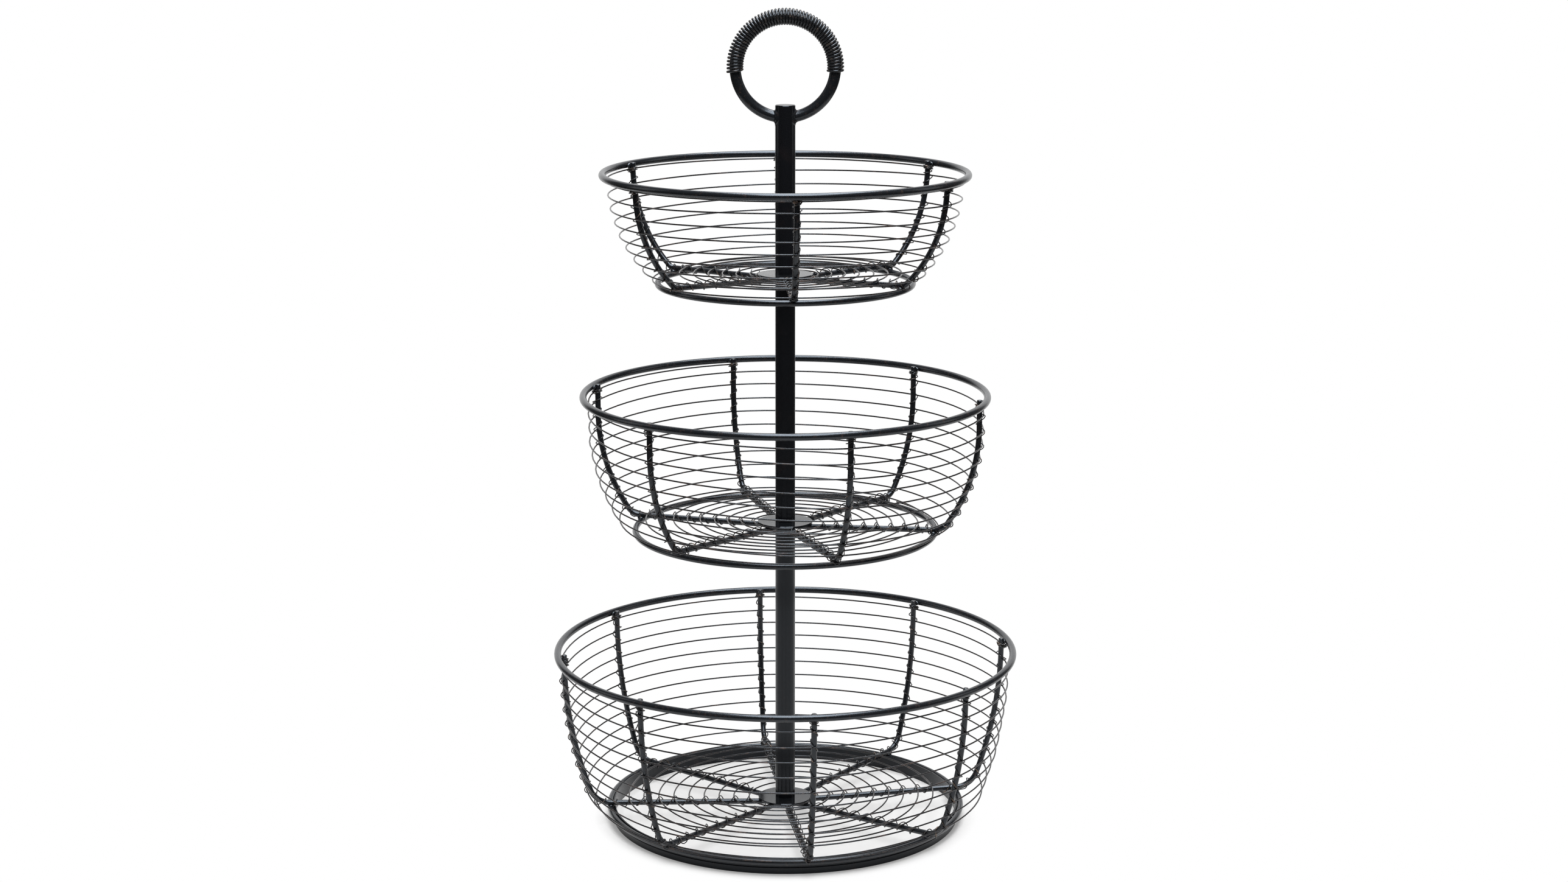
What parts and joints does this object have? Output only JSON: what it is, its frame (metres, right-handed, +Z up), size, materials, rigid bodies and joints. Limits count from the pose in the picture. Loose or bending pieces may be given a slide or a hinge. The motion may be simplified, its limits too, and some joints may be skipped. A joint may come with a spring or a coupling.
{
  "type": "three-tier wire fruit basket",
  "caption": "Three-tier round wire fruit basket on a centre post with a foot hoop and a ring handle, in satin black metal.",
  "frame": {"origin": "centre of the foot hoop on the table, on the post's axis", "axes": "+Z up along the post, -Y towards the front, the ring handle in the XZ plane"},
  "size_m": [0.3358, 0.3358, 0.588],
  "materials": {
    "black_metal": "satin antique black with rubbed high spots",
    "dark_wire": "satin black wire with copper brown rub-through",
    "hub_metal": "satin grey, smooth",
    "bare_steel": "plain zinc-plated steel"
  },
  "bodies": {
    "root": {"handle_ring": "black_metal", "handle_wrap": "dark_wire", "post_cap": "black_metal", "upper_post": "black_metal", "middle_post": "black_metal", "lower_post": "black_metal", "upper_post_bush": "bare_steel", "middle_post_bushes": "bare_steel", "lower_post_bushes": "bare_steel", "upper_stud": "bare_steel", "lower_stud": "bare_steel", "base_washer": "bare_steel", "base_bolt": "bare_steel", "foot_hoop": "black_metal", "upper_rim": "black_metal", "upper_base_ring": "black_metal", "upper_ribs": "black_metal", "upper_side_wires": "dark_wire", "upper_floor_wires": "dark_wire", "upper_hub_plate": "hub_metal", "middle_rim": "black_metal", "middle_base_ring": "black_metal", "middle_ribs": "black_metal", "middle_side_wires": "dark_wire", "middle_floor_wires": "dark_wire", "middle_hub_plate": "hub_metal", "lower_rim": "black_metal", "lower_base_ring": "black_metal", "lower_ribs": "black_metal", "lower_side_wires": "dark_wire", "lower_floor_wires": "dark_wire", "lower_hub_plate": "hub_metal"}
  },
  "joints": []
}
